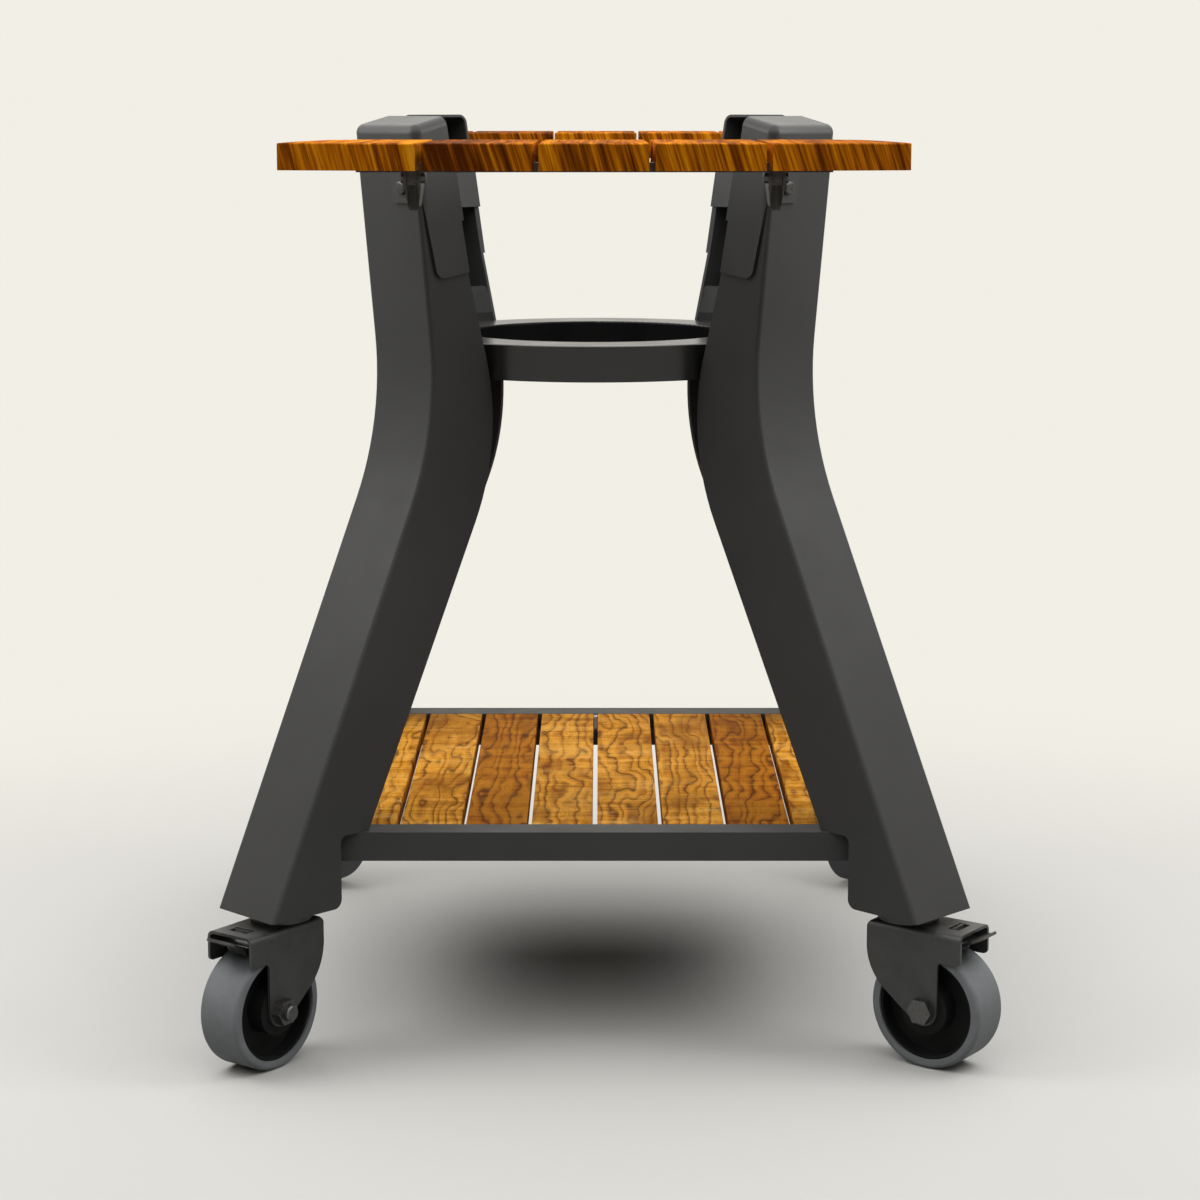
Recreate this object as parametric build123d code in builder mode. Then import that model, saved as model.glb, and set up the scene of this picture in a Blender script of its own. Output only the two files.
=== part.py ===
from build123d import *
import os
from math import cos, radians, sin, sqrt, tan

# Millimetres. The origin is on the floor under the middle of the stand, +Z up.
# The legs stand on the four diagonals. The side shelves lie towards -Y (front) and +Y (rear).

# Fits
seat_gap = 0.1  # pieces that are welded or screwed together
bore_gap = 0.05  # a pin in its hole, on the radius
run_gap = 0.3  # faces that slide past each other
sheet_round = 1.0  # softened edges of planks

# Legs
leg_width = 75.0
leg_wall = 3.0
leg_fold = 0.5  # inside radius of the two folds
foot_corner = 8.0
notch_corner = 6.0
lower_lean = 25.2  # degrees from upright
upper_lean = 6.1
knee_height = 534.4  # where the two straight runs of the web would meet
knee_clear = 59.1  # web at the knee, outside the ring
web_knee_radius = 262.0
edge_lower_lean = 26.5  # inner edges of the flanges, below their knee
edge_middle_lean = 15.6  # from their knee to their upper bend
edge_upper_lean = 11.3
edge_knee_drop = 19.4  # their knee below the web's
edge_knee_tuck = 16.8  # their knee inside the ring's rim, before it is rounded
edge_knee_radius = 200.0
edge_bend_rise = 130.6  # their upper bend above the web's knee
edge_bend_radius = 300.0

# Leg caps
cap_wall = 2.5
cap_round = 8.0  # outside radius of the top's edges
cap_corner = 8.5  # the same of the two upright folds
cap_rise = 259.1  # top of the caps above the knee
cap_fall = 8.0  # the top's outer end below its inner end
cap_hood = 45.5  # these depths are below the top
cap_mouth = 39.5
cap_plate = 87.5
cap_tab = 136.5
cap_tab_setback = 11.8
cap_tab_rise = 5.0
cap_tab_corner = 9.0

# Support ring
ring_outer = 166.5
ring_inner = 119.0
ring_height = 31.0
ring_rise = 64.6  # seat above the knee
ring_wall = 3.0
ring_lip = 2.0  # outside rounding of the top edges

# Ring brackets
tab_width = 54.0
tab_wall = 3.0
tab_rise = 32.5  # above the ring
tab_bend_rise = 7.7
tab_lean = 19.0
tab_corner = 4.0
ring_bolt_radius = 4.0

# Lower frame and its planks
rail_width = 28.0
rail_height = 25.0
rail_wall = 2.0
rail_top = 193.0
corner_setback = 29.1  # from a leg's web to the corner of the frame
base_planks = 8
base_plank_gap = 4.2
base_plank_thickness = 15.0
ledge_width = 20.0
ledge_wall = 3.0
ledge_lip = 13.0
clip_length = 9.0

# Side shelves
shelf_drop = 18.5  # shelf tops below the caps
plank_thickness = 20.0
plank_width = 81.4
plank_gap = 4.8
shelf_planks = 5
shelf_depth = 238.5  # from the inner edge to the middle of the outer edge
shelf_bow = 28.0  # how far the outer edge falls back at its ends
shelf_overhang = 85.9  # ends of the shelf beyond its brackets
shelf_taper = 22.0  # how far the ends draw in towards the stand
shelf_end_bow = 4.0
shelf_corner = 36.0

# Shelf hinges
hinge_stand = 48.1  # pin beyond the leg's corner
hinge_drop = 10.0  # pin below the underside of the planks
hinge_pin_radius = 3.0
hinge_head_radius = 5.5
hinge_head = 4.5
hinge_head_round = 2.0
hinge_tail = 2.0
hinge_setback = 7.5  # pin behind the inner edge of the planks
ear_radius = 8.4
bracket_inset = 0.3  # bracket outside the leg's corner
bracket_width = 14.0
bracket_wall = 2.5
bracket_drop = 28.0  # tongue below the pin
bracket_toe = 16.0  # from the pin back to the tongue
tongue_taper = 3.0
wing_width = 26.0
wing_height = 26.0
wing_wall = 3.0
arm_knuckle = 7.0
arm_depth = 12.0
arm_margin = 26.0  # from the shelf's outer edge to the arm's end
bar_width = 25.0
bar_thickness = 5.0
bar_inset = 42.0  # from the inner and outer edges of the shelf
bar_overhang = 40.9  # bar ends beyond the arms

# Screws and bolts
screw_radius = 2.0
screw_head_radius = 4.0
screw_head = 2.0
screw_bite = 8.0
bolt_radius = 4.0
bolt_head_radius = 7.0
bolt_head = 5.0
bolt_tail = 3.0
button_radius = 6.0
button_head = 3.5
button_round = 2.0

# Casters
wheel_radius = 52.0
wheel_width = 41.5
tyre_depth = 8.0
tyre_shoulder = 4.0
core_rim = 2.5
core_rim_width = 37.0
core_web = 12.0
hub_radius = 21.5
hub_play = 0.5
swivel_setback = 38.4  # from the web at the foot
caster_trail = 29.0
caster_turn = 9.0  # degrees that the casters stand turned from the diagonals
crown_clearance = 16.0  # crown above the tread
fork_wall = 2.5
fork_side_gap = 1.5
fork_bend = 6.0
fork_inner_reach = 26.0  # behind the swivel axis
fork_outer_reach = 64.0  # in front of it
fork_eye_radius = 13.5
fork_shoulder = 44.0  # depth at which the fork's back edge turns in
fork_back_bend = 48.0
fork_back_corner = 6.0
fork_cheek = 26.5  # depth of the brake housing
fork_corner = 4.0
axle_radius = 7.0
axle_head_radius = 11.5
axle_head = 6.5
axle_nut = 8.0
axle_tail = 5.5
axle_chamfer = 1.2
plate_thickness = 5.0
race_radius = 26.0
race_height = 8.5  # crown below the foot
kingpin_radius = 7.0
kingpin_head_radius = 11.0
kingpin_head = 3.0

# Brake pedals
pedal_pivot_reach = 40.0
pedal_pivot_drop = 9.5  # these drops are below the top of the crown
pedal_pin_radius = 2.5
pedal_half_width = 15.0
pedal_wall = 2.5
pedal_corner = 5.0
pedal_arm_reach = 47.5
pedal_arm_drop = 5.5
pedal_bend_reach = 57.5
pedal_bend_drop = 12.5
pedal_bend_radius = 4.0
pedal_reach = 78.0
pedal_end_drop = 2.5
pedal_tongue = 17.0
shoe_half_width = 10.0
shoe_start = 42.0  # where the shoe meets the tread
shoe_length = 8.0
brake_travel = 12.0  # degrees
brake_gap = 0.5  # shoe above the tread with the brake on
slot_length = 10.5
slot_margin = 1.5
slot_reach = 49.0

# Leg outline, worked out in the upright plane through the leg: (distance from the axis, height)
lower_slope = tan(radians(lower_lean))
upper_slope = tan(radians(upper_lean))
root_two = sqrt(2)
crown_underside = 2 * wheel_radius + crown_clearance
fork_top = crown_underside + fork_wall
foot_height = fork_top + race_height
knee_reach = ring_outer + knee_clear
foot_reach = knee_reach + (knee_height - foot_height) * lower_slope
knee_turn = radians(lower_lean + upper_lean)
cap_height = knee_height + cap_rise
hood_bottom = cap_height - cap_hood
leg_top = hood_bottom - seat_gap
ring_top = knee_height + ring_rise
ring_bottom = ring_top - ring_height
shelf_top = cap_height - shelf_drop
shelf_bottom = shelf_top - plank_thickness
half_leg = leg_width / 2
half_channel = half_leg - leg_wall
leg_bend = leg_fold + leg_wall
edge_lower_slope = tan(radians(edge_lower_lean))
edge_upper_slope = tan(radians(edge_upper_lean))
edge_knee_height = knee_height - edge_knee_drop
edge_knee_reach = ring_outer - edge_knee_tuck
edge_bend_height = knee_height + edge_bend_rise
edge_bend_reach = edge_knee_reach + (edge_knee_drop + edge_bend_rise) * tan(radians(edge_middle_lean))


def lower_web(z):
    """Distance of the web's straight lower run from the axis at a height."""
    return foot_reach - (z - foot_height) * lower_slope


def upper_web(z):
    """The same for the straight upper run."""
    return knee_reach + (z - knee_height) * upper_slope


def lower_edge(z):
    """Distance of the flanges' inner edges from the axis at a height, below their knee."""
    return edge_knee_reach + (edge_knee_height - z) * edge_lower_slope


def upper_edge(z):
    """The same above their upper bend."""
    return edge_bend_reach + (z - edge_bend_height) * edge_upper_slope


def web_reach(z):
    """Distance of the web's outer face from the axis, through the bend at the knee."""
    run = web_knee_radius * tan(knee_turn / 2)
    low = knee_height - run * cos(radians(lower_lean))
    high = knee_height + run * cos(radians(upper_lean))
    if z <= low:
        return lower_web(z)
    if z >= high:
        return upper_web(z)
    centre_reach = lower_web(low) + web_knee_radius * cos(radians(lower_lean))
    centre_height = low + web_knee_radius * sin(radians(lower_lean))
    return centre_reach - sqrt(web_knee_radius**2 - (z - centre_height) ** 2)


# Names of the four corners, the direction of each leg and the side on which its shelf hinge lies
corners = {
    "front_left": (225, -1),
    "front_right": (315, 1),
    "rear_right": (45, -1),
    "rear_left": (135, 1),
}


def outward(angle):
    """Level unit vector from the axis along a leg."""
    return Vector(cos(radians(angle)), sin(radians(angle)), 0)


def upright(angle, reach=0.0):
    """Upright plane along a leg: x outwards, y up, its normal along the leg's width."""
    return Plane(outward(angle) * reach, x_dir=outward(angle), z_dir=outward(angle - 90))


def level(angle, reach, z):
    """Level plane at a point on a leg's diagonal: x outwards."""
    return Plane(outward(angle) * reach + Vector(0, 0, z), x_dir=outward(angle), z_dir=(0, 0, 1))


def keep(piece, name):
    """Name a finished piece and write it."""
    piece.label = name
    export_step(piece, f"parts/{name}.step")


def web_edges(part, plane, half, shift):
    """The two long edges of a channel, where its web meets its flanges."""
    found = ShapeList()
    for edge in part.edges():
        point = plane.to_local_coords(edge @ 0.5)
        on_web = abs(point.X - web_reach(point.Y) - shift) < leg_wall
        if on_web and abs(abs(point.Z) - half) < leg_wall / 10 and abs((edge % 0.5).Z) > 0.5:
            found.append(edge)
    return found


os.makedirs("parts", exist_ok=True)

# Shelf hinge places
pin_height = shelf_bottom - hinge_drop
bracket_middle = (upper_web(pin_height) - half_leg) / root_two + bracket_inset
bracket_half = bracket_width / 2
hinge_reach = (upper_web(pin_height) + half_leg) / root_two + hinge_stand
shelf_inner = hinge_reach + hinge_setback
shelf_reach = shelf_inner + shelf_depth
shelf_half_width = bracket_middle + shelf_overhang
wing_height_middle = hood_bottom - run_gap - wing_height / 2
wing_across = half_leg - leg_bend - wing_width / 2

# Lower frame places
frame_half = (lower_web(rail_top) - corner_setback) / root_two
frame_inner = frame_half - rail_width
rail_bottom = rail_top - rail_height

# Caster places
swivel_reach = foot_reach - swivel_setback
axle_height = wheel_radius
fork_inside = wheel_width / 2 + fork_side_gap
fork_outside = fork_inside + fork_wall


def web_plane(angle, z):
    """Plane on a leg's outer face above the knee: x along the leg's width, its normal outwards."""
    lean = radians(upper_lean)
    normal = outward(angle) * cos(lean) - Vector(0, 0, sin(lean))
    middle = outward(angle) * upper_web(z) + Vector(0, 0, z)
    return Plane(middle, x_dir=outward(angle - 90), z_dir=normal)


def facing(angle, reach, z):
    """Upright plane square to a leg's diagonal, its normal outwards."""
    middle = outward(angle) * reach + Vector(0, 0, z)
    return Plane(middle, x_dir=outward(angle - 90), z_dir=outward(angle))


def along_wheel(angle):
    """Upright plane through a caster's wheel: x the way the caster trails, y up, from its swivel axis."""
    heading = outward(angle + caster_turn)
    return Plane(outward(angle) * swivel_reach, x_dir=heading, z_dir=outward(angle + caster_turn - 90))


def across_wheel(angle, reach):
    """Upright plane square to a caster's wheel: its normal the way the caster trails."""
    heading = outward(angle + caster_turn)
    middle = outward(angle) * swivel_reach + heading * reach
    return Plane(middle, x_dir=outward(angle + caster_turn + 90), z_dir=heading)


def over_wheel(angle, z):
    """Level plane at a caster's swivel axis: x the way the caster trails."""
    middle = outward(angle) * swivel_reach + Vector(0, 0, z)
    return Plane(middle, x_dir=outward(angle + caster_turn), z_dir=(0, 0, 1))


def sideways(way, across):
    """Upright plane across a shelf: x from the stand towards the shelf, y up."""
    return Plane((across, 0, 0), x_dir=(0, way, 0), z_dir=(way, 0, 0))


# Legs: folded sheet channels, open towards the stand's axis, notched over the lower frame
level_wall = leg_wall / cos(radians(lower_lean))
level_upper_wall = leg_wall / cos(radians(upper_lean))
hollow_knee_height = knee_height - (level_wall - level_upper_wall) / (lower_slope + upper_slope)
hollow_knee = (upper_web(hollow_knee_height) - level_upper_wall, hollow_knee_height)
hollow_foot = foot_height - leg_wall
hollow_top = leg_top + leg_wall
web_knee = (knee_reach, knee_height)
edge_knee = (edge_knee_reach, edge_knee_height)
edge_bend = (edge_bend_reach, edge_bend_height)
foot_edge = lower_edge(foot_height)
notch_height = rail_top + seat_gap

for corner, (angle, side) in corners.items():
    with BuildPart() as hollow:
        with BuildSketch(upright(angle)):
            with BuildLine():
                Polyline(
                    (lower_web(hollow_foot) - level_wall, hollow_foot),
                    hollow_knee,
                    (upper_web(hollow_top) - level_upper_wall, hollow_top),
                    (0, hollow_top),
                    (0, hollow_foot),
                    close=True,
                )
            make_face()
            fillet(vertices().sort_by_distance(hollow_knee)[0], web_knee_radius + leg_wall)
        extrude(amount=half_channel, both=True)
        fillet(web_edges(hollow, upright(angle), half_channel, -leg_wall), leg_fold)

    with BuildPart() as leg:
        with BuildSketch(upright(angle)):
            with BuildLine():
                Polyline(
                    (foot_reach, foot_height),
                    web_knee,
                    (upper_web(leg_top), leg_top),
                    (upper_edge(leg_top), leg_top),
                    edge_bend,
                    edge_knee,
                    (lower_edge(notch_height), notch_height),
                    (foot_edge, notch_height),
                    (foot_edge, foot_height),
                    close=True,
                )
            make_face()
            fillet(vertices().sort_by_distance(web_knee)[0], web_knee_radius)
            fillet(vertices().sort_by_distance(edge_knee)[0], edge_knee_radius)
            fillet(vertices().sort_by_distance(edge_bend)[0], edge_bend_radius)
            fillet(vertices().sort_by_distance((foot_edge, notch_height))[0], notch_corner)
            fillet(vertices().sort_by_distance((foot_edge, foot_height))[0], foot_corner)
        extrude(amount=half_leg, both=True)
        fillet(web_edges(leg, upright(angle), half_leg, 0), leg_bend)
        add(hollow.part, mode=Mode.SUBTRACT)
        with BuildSketch(web_plane(angle, wing_height_middle)):
            with Locations((side * wing_across, 0)):
                Circle(bolt_radius + bore_gap)
        extrude(amount=2 * leg_wall, both=True, mode=Mode.SUBTRACT)
    keep(leg.part, f"leg_{corner}")

# Leg caps: sheet hoods over the legs' ends, open inwards, with a tab down each flange and a plate inside
cap_fit = half_leg + seat_gap
cap_out = seat_gap + cap_wall
cap_half = cap_fit + cap_wall
cap_brow = cap_height - cap_fall
brow_reach = upper_web(cap_brow)
mouth_reach = upper_edge(cap_height)
cap_slope = cap_fall / (brow_reach - mouth_reach)
hood_inner = upper_web(cap_brow - cap_wall) - cap_wall
mouth_bottom = cap_height - cap_mouth
plate_bottom = cap_height - cap_plate
tab_bottom = cap_height - cap_tab
tab_outer = (upper_web(tab_bottom) - cap_tab_setback, tab_bottom)
tab_inner = (upper_edge(tab_bottom + cap_tab_rise), tab_bottom + cap_tab_rise)

for corner, (angle, side) in corners.items():
    with BuildPart() as pocket:
        with BuildSketch(upright(angle)):
            with BuildLine():
                Polyline(
                    (brow_reach, tab_bottom - cap_wall),
                    (brow_reach, hood_bottom),
                    (upper_web(hood_bottom) - cap_wall, hood_bottom),
                    (hood_inner, cap_brow - cap_wall + (brow_reach - hood_inner) * cap_slope),
                    (0, cap_height - cap_wall + mouth_reach * cap_slope),
                    (0, mouth_bottom),
                    (upper_edge(mouth_bottom) - seat_gap, mouth_bottom),
                    (upper_edge(plate_bottom) - seat_gap, plate_bottom),
                    (0, plate_bottom),
                    (0, tab_bottom - cap_wall),
                    close=True,
                )
            make_face()
        extrude(amount=cap_fit, both=True)
        fillet(web_edges(pocket, upright(angle), cap_fit, -cap_wall), cap_corner - cap_wall)
        ceiling = pocket.faces().sort_by(Axis.Z)[-1]
        fillet(ceiling.edges().sort_by(Axis.Z)[:-1], cap_round - cap_wall)

    with BuildPart() as cap:
        with BuildSketch(upright(angle)):
            with BuildLine():
                Polyline(
                    (upper_web(hood_bottom), hood_bottom),
                    (brow_reach, cap_brow),
                    (mouth_reach, cap_height),
                    (upper_edge(mouth_bottom), mouth_bottom),
                    (upper_edge(mouth_bottom) - cap_out, mouth_bottom),
                    (upper_edge(plate_bottom) - cap_out, plate_bottom),
                    (upper_edge(plate_bottom), plate_bottom),
                    tab_inner,
                    tab_outer,
                    close=True,
                )
            make_face()
            fillet(vertices().sort_by_distance(tab_outer)[0], cap_tab_corner)
        extrude(amount=cap_half, both=True)
        fillet(web_edges(cap, upright(angle), cap_half, 0), cap_corner)
        roof = cap.faces().sort_by(Axis.Z)[-1]
        fillet(roof.edges().sort_by(Axis.Z)[:-1], cap_round)
        add(pocket.part, mode=Mode.SUBTRACT)
    keep(cap.part, f"leg_cap_{corner}")

# Support ring: a folded channel, open below
ring_bolt_height = ring_top - ring_height / 2
with BuildPart() as support_ring:
    with BuildSketch(Plane.XY.offset(ring_bottom)):
        Circle(ring_outer)
        Circle(ring_inner, mode=Mode.SUBTRACT)
    extrude(amount=ring_height)
    fillet(support_ring.faces().sort_by(Axis.Z)[-1].edges(), ring_lip)
    with BuildSketch(Plane.XY.offset(ring_bottom)):
        Circle(ring_outer - ring_wall)
        Circle(ring_inner + ring_wall, mode=Mode.SUBTRACT)
    extrude(amount=ring_height - ring_wall, mode=Mode.SUBTRACT)
    for corner, (angle, side) in corners.items():
        with BuildSketch(facing(angle, ring_outer, ring_bolt_height)):
            Circle(ring_bolt_radius + bore_gap)
        extrude(amount=2 * ring_wall, both=True, mode=Mode.SUBTRACT)
keep(support_ring.part, "support_ring")

# Ring brackets: bent tabs inside the leg channels, from the web to the ring and up behind it
tab_face = ring_outer + seat_gap
tab_top = ring_top + tab_rise
tab_bend = ring_top + tab_bend_rise
tab_shift = (tab_rise - tab_bend_rise) * tan(radians(tab_lean))
tab_heel = web_reach(ring_bottom) - leg_wall - 2 * run_gap

with BuildPart() as ring_brackets:
    for corner, (angle, side) in corners.items():
        with BuildSketch(upright(angle)):
            with BuildLine():
                Polyline(
                    (tab_face, ring_bottom),
                    (tab_face, tab_bend),
                    (tab_face + tab_shift, tab_top),
                    (tab_face + tab_shift + tab_wall, tab_top),
                    (tab_face + tab_wall, tab_bend),
                    (tab_face + tab_wall, ring_bottom + tab_wall),
                    (tab_heel, ring_bottom + tab_wall),
                    (tab_heel, ring_bottom),
                    close=True,
                )
            make_face()
        extrude(amount=tab_width / 2, both=True)
        with BuildSketch(facing(angle, tab_face, ring_bolt_height)):
            Circle(ring_bolt_radius + bore_gap)
        extrude(amount=2 * tab_wall, both=True, mode=Mode.SUBTRACT)
    top_edges = ring_brackets.edges().group_by(Axis.Z)[-1].sort_by(SortBy.LENGTH)
    fillet(top_edges[: 2 * len(corners)], tab_corner)
keep(ring_brackets.part, "ring_brackets")

# Ring bolts: heads in the leg channels, nuts inside the ring
with BuildPart() as ring_bolts:
    for corner, (angle, side) in corners.items():
        head_face = facing(angle, tab_face + tab_wall, ring_bolt_height)
        shank = tab_wall + seat_gap + ring_wall + bolt_head + bolt_tail
        with BuildSketch(head_face):
            Circle(ring_bolt_radius)
        extrude(amount=-shank)
        with BuildSketch(head_face):
            RegularPolygon(bolt_head_radius, 6)
        extrude(amount=bolt_head)
        with BuildSketch(facing(angle, ring_outer - ring_wall - run_gap, ring_bolt_height)):
            RegularPolygon(bolt_head_radius, 6)
            Circle(ring_bolt_radius + bore_gap, mode=Mode.SUBTRACT)
        extrude(amount=-bolt_head)
keep(ring_bolts.part, "ring_bolts")

# Lower frame: four mitred square tubes
for turn, place in enumerate(("front", "right", "rear", "left")):
    along = outward(90 * turn)
    out = outward(90 * turn - 90)
    with BuildPart() as rail:
        with BuildSketch(Plane((0, 0, rail_bottom), x_dir=along, z_dir=(0, 0, 1))):
            with BuildLine():
                Polyline(
                    (seat_gap - frame_half, -frame_half),
                    (frame_half - seat_gap, -frame_half),
                    (frame_inner - seat_gap, -frame_inner),
                    (seat_gap - frame_inner, -frame_inner),
                    close=True,
                )
            make_face()
        extrude(amount=rail_height)
        tube_middle = out * (frame_half - rail_width / 2) + Vector(0, 0, rail_top - rail_height / 2)
        with BuildSketch(Plane(tube_middle, x_dir=out, z_dir=along)):
            Rectangle(rail_width - 2 * rail_wall, rail_height - 2 * rail_wall)
        extrude(amount=frame_half, both=True, mode=Mode.SUBTRACT)
    keep(rail.part, f"lower_rail_{place}")

# Plank ledges: angle bars along the front and rear rails, under the plank ends
plank_underside = rail_top - base_plank_thickness
ledge_top = plank_underside - seat_gap
ledge_inner = frame_inner - ledge_width
ledge_half = frame_inner - seat_gap
base_plank_field = 2 * (frame_inner - run_gap)
base_plank_pitch = (base_plank_field + base_plank_gap) / base_planks
base_plank_width = base_plank_pitch - base_plank_gap
base_plank_places = [base_plank_pitch * (number - (base_planks - 1) / 2) for number in range(base_planks)]
base_screw_reach = frame_inner - (ledge_width - ledge_wall) / 2
base_screw_places = [(across, way * base_screw_reach) for across in base_plank_places for way in (-1, 1)]

with BuildPart() as plank_ledges:
    for way in (-1, 1):
        with BuildSketch(sideways(way, 0)):
            with BuildLine():
                Polyline(
                    (frame_inner - seat_gap, ledge_top),
                    (ledge_inner, ledge_top),
                    (ledge_inner, ledge_top - ledge_lip),
                    (ledge_inner + ledge_wall, ledge_top - ledge_lip),
                    (ledge_inner + ledge_wall, ledge_top - ledge_wall),
                    (frame_inner - seat_gap, ledge_top - ledge_wall),
                    close=True,
                )
            make_face()
        extrude(amount=ledge_half, both=True)
    with BuildSketch(Plane.XY.offset(ledge_top - ledge_wall)):
        with Locations(*base_screw_places):
            Circle(screw_radius + bore_gap)
    extrude(amount=ledge_wall, mode=Mode.SUBTRACT)
keep(plank_ledges.part, "plank_ledges")

# Lower planks: eight boards between the side rails, screwed down through the ledges
with BuildPart() as lower_planks:
    with BuildSketch(Plane.XY.offset(plank_underside)):
        with Locations(*[(across, 0) for across in base_plank_places]):
            Rectangle(base_plank_width, 2 * (frame_inner - run_gap))
    extrude(amount=base_plank_thickness)
    fillet(lower_planks.faces().filter_by(Axis.Z).group_by(Axis.Z)[-1].edges(), sheet_round)
    with BuildSketch(Plane.XY.offset(plank_underside)):
        with Locations(*base_screw_places):
            Circle(screw_radius + bore_gap)
    extrude(amount=screw_bite, mode=Mode.SUBTRACT)
keep(lower_planks.part, "lower_planks")

with BuildPart() as lower_plank_screws:
    with BuildSketch(Plane.XY.offset(ledge_top - ledge_wall)):
        with Locations(*base_screw_places):
            Circle(screw_radius)
    extrude(amount=ledge_wall + seat_gap + screw_bite - run_gap)
    with BuildSketch(Plane.XY.offset(ledge_top - ledge_wall)):
        with Locations(*base_screw_places):
            Circle(screw_head_radius)
    extrude(amount=-screw_head)
keep(lower_plank_screws.part, "lower_plank_screws")

# Clip: a bright strip that stands in the middle gap against the rear rail
with BuildPart() as plank_clip:
    with BuildSketch(Plane.XY.offset(ledge_top)):
        with Locations((0, frame_inner - seat_gap - clip_length / 2)):
            Rectangle(base_plank_gap - 2 * run_gap, clip_length)
    extrude(amount=base_plank_thickness - sheet_round)
keep(plank_clip.part, "plank_clip")

# Shelf brackets: folded channels on the legs' corners, with a wing on the web and ears for the hinge pin
bracket_back = upper_web(pin_height) / root_two
bracket_top = hood_bottom - run_gap
bracket_bottom = pin_height - bracket_drop
tongue_reach = hinge_reach - bracket_toe
bracket_inside = bracket_half - bracket_wall
ear_bottom = pin_height - ear_radius
places = {
    "front_left": (-1, -1),
    "front_right": (1, -1),
    "rear_right": (1, 1),
    "rear_left": (-1, 1),
}

for corner, (angle, side) in corners.items():
    hand, way = places[corner]
    cheek_plane = sideways(way, hand * bracket_middle)
    with BuildPart() as leg_shape:
        with BuildSketch(upright(angle)):
            with BuildLine():
                Polyline(
                    (upper_web(bracket_bottom - leg_width) + seat_gap, bracket_bottom - leg_width),
                    (upper_web(cap_height) + seat_gap, cap_height),
                    (0, cap_height),
                    (0, bracket_bottom - leg_width),
                    close=True,
                )
            make_face()
        extrude(amount=cap_half + seat_gap, both=True)
        fillet(web_edges(leg_shape, upright(angle), cap_half + seat_gap, seat_gap), leg_bend + cap_out)

    with BuildPart() as shelf_bracket:
        with BuildSketch(cheek_plane):
            with BuildLine():
                Polyline(
                    (hinge_reach, pin_height + ear_radius),
                    (tongue_reach, bracket_top),
                    (bracket_back, bracket_top),
                    (bracket_back, bracket_bottom),
                    (tongue_reach, bracket_bottom),
                    (hinge_reach, ear_bottom),
                    close=True,
                )
            make_face()
            with Locations((hinge_reach, pin_height)):
                Circle(ear_radius)
        extrude(amount=bracket_half, both=True)
        with BuildSketch(cheek_plane):
            Rectangle(hinge_reach, cap_height, align=(Align.MIN, Align.MIN))
            with Locations((tongue_reach - bracket_wall, 0)):
                Rectangle(bracket_wall, cap_height, align=(Align.MIN, Align.MIN), mode=Mode.SUBTRACT)
            with Locations((hinge_reach, 0)):
                Rectangle(hinge_reach, cap_height, align=(Align.MIN, Align.MIN))
        extrude(amount=bracket_inside, both=True, mode=Mode.SUBTRACT)
        with BuildSketch(Plane((hand * bracket_middle, 0, 0), x_dir=(1, 0, 0), z_dir=(0, -1, 0))):
            with BuildLine():
                Polyline(
                    (-bracket_half, cap_height),
                    (bracket_half, cap_height),
                    (bracket_half, ear_bottom),
                    (bracket_half - tongue_taper, bracket_bottom),
                    (tongue_taper - bracket_half, bracket_bottom),
                    (-bracket_half, ear_bottom),
                    close=True,
                )
            make_face()
        extrude(amount=shelf_reach, both=True, mode=Mode.INTERSECT)
        with BuildSketch(web_plane(angle, wing_height_middle)):
            with Locations((side * wing_across, 0)):
                Rectangle(wing_width, wing_height)
        extrude(amount=seat_gap + wing_wall)
        add(leg_shape.part, mode=Mode.SUBTRACT)
        with BuildSketch(cheek_plane):
            with Locations((hinge_reach, pin_height)):
                Circle(hinge_pin_radius + bore_gap)
        extrude(amount=bracket_width, both=True, mode=Mode.SUBTRACT)
        with BuildSketch(web_plane(angle, wing_height_middle)):
            with Locations((side * wing_across, 0)):
                Circle(bolt_radius + bore_gap)
        extrude(amount=2 * wing_wall, mode=Mode.SUBTRACT)
    keep(shelf_bracket.part, f"shelf_bracket_{corner}")

# Bracket bolts: button heads on the brackets' wings, nuts inside the leg channels
with BuildPart() as bracket_bolts:
    for corner, (angle, side) in corners.items():
        wing_face = web_plane(angle, wing_height_middle).offset(seat_gap + wing_wall)
        nut_face = web_plane(angle, wing_height_middle).offset(-leg_wall)
        bolt_place = (side * wing_across, 0)
        with BuildSketch(wing_face):
            with Locations(bolt_place):
                Circle(bolt_radius)
        extrude(amount=-(seat_gap + wing_wall + leg_wall + bolt_head + bolt_tail))
        with BuildSketch(wing_face):
            with Locations(bolt_place):
                Circle(button_radius)
        extrude(amount=button_head)
        rims = bracket_bolts.edges(Select.LAST).sort_by(Axis(wing_face.origin, wing_face.z_dir))
        fillet(rims[-1], button_round)
        with BuildSketch(nut_face):
            with Locations(bolt_place):
                RegularPolygon(bolt_head_radius, 6)
                Circle(bolt_radius + bore_gap, mode=Mode.SUBTRACT)
        extrude(amount=-bolt_head)
keep(bracket_bolts.part, "bracket_bolts")

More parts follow.
